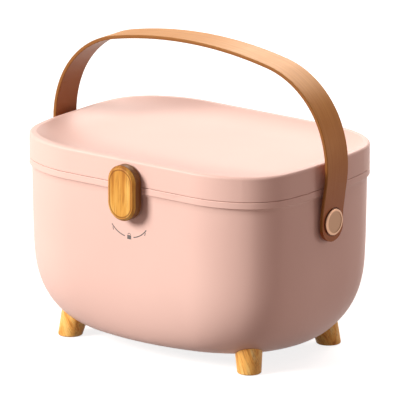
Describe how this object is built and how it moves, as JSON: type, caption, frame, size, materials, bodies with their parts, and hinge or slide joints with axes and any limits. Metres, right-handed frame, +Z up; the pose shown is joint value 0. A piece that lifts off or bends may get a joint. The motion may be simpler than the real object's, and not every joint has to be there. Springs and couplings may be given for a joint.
{
  "type": "medicine box",
  "caption": "Portable medicine box: rounded moulded case with hinged dished lid, wooden turn knob, splayed wooden feet and an arched leather carrying strap.",
  "frame": {"origin": "on the floor plane of the feet, under the middle of the overall box between knob face and hinge backs, left-right centre of the case", "axes": "+X along the case to the right as seen from the front, +Y to the hinges at the back, +Z up; the knob faces -Y"},
  "size_m": [0.2974, 0.2194, 0.2701],
  "materials": {
    "pink_plastic": "satin moulded",
    "tray_plastic": "satin moulded",
    "strap_leather": "smooth tan leather",
    "knob_wood": "oiled, fine dark grain",
    "foot_wood": "oiled, fine dark grain",
    "rivet_metal": "satin rose gold plating",
    "steel": "zinc plated",
    "magnet": "nickel plated",
    "nylon": "natural nylon"
  },
  "bodies": {
    "case": {"case_shell": "pink_plastic", "upper_tray": "tray_plastic", "knob_washer_outer": "nylon", "rivet_spacer_left": "nylon", "rivet_spacer_right": "nylon", "hinge_pin_left": "steel", "hinge_pin_right": "steel", "rivet_left": "rivet_metal", "rivet_right": "rivet_metal", "rivet_washer_left": "steel", "rivet_washer_right": "steel", "rivet_screw_left": "steel", "rivet_screw_right": "steel", "foot_front_left": "foot_wood", "foot_front_right": "foot_wood", "foot_back_left": "foot_wood", "foot_back_right": "foot_wood", "foot_screw_front_left": "steel", "foot_screw_front_right": "steel", "foot_screw_back_left": "steel", "foot_screw_back_right": "steel"},
    "lid": {"lid_shell": "pink_plastic", "lid_keeper": "steel"},
    "knob": {"knob": "knob_wood", "knob_spindle": "steel", "knob_washer_inner": "steel", "knob_nut": "steel", "knob_magnet": "magnet"},
    "handle": {"handle_strap": "strap_leather"}
  },
  "joints": [
    {"name": "lid_hinge", "type": "hinge", "parent": "case", "child": "lid", "pos_m": [0, 0.1063, 0.1578], "axis": [-1, 0, 0], "range_deg": [0, 8]},
    {"name": "handle_swing", "type": "hinge", "parent": "case", "child": "handle", "pos_m": [0, 0.002, 0.1292], "axis": [1, 0, 0], "range_deg": [-100, 100]},
    {"name": "knob_turn", "type": "hinge", "parent": "case", "child": "knob", "pos_m": [0, -0.1035, 0.145], "axis": [0, -1, 0], "range_deg": [-90, 90]}
  ]
}
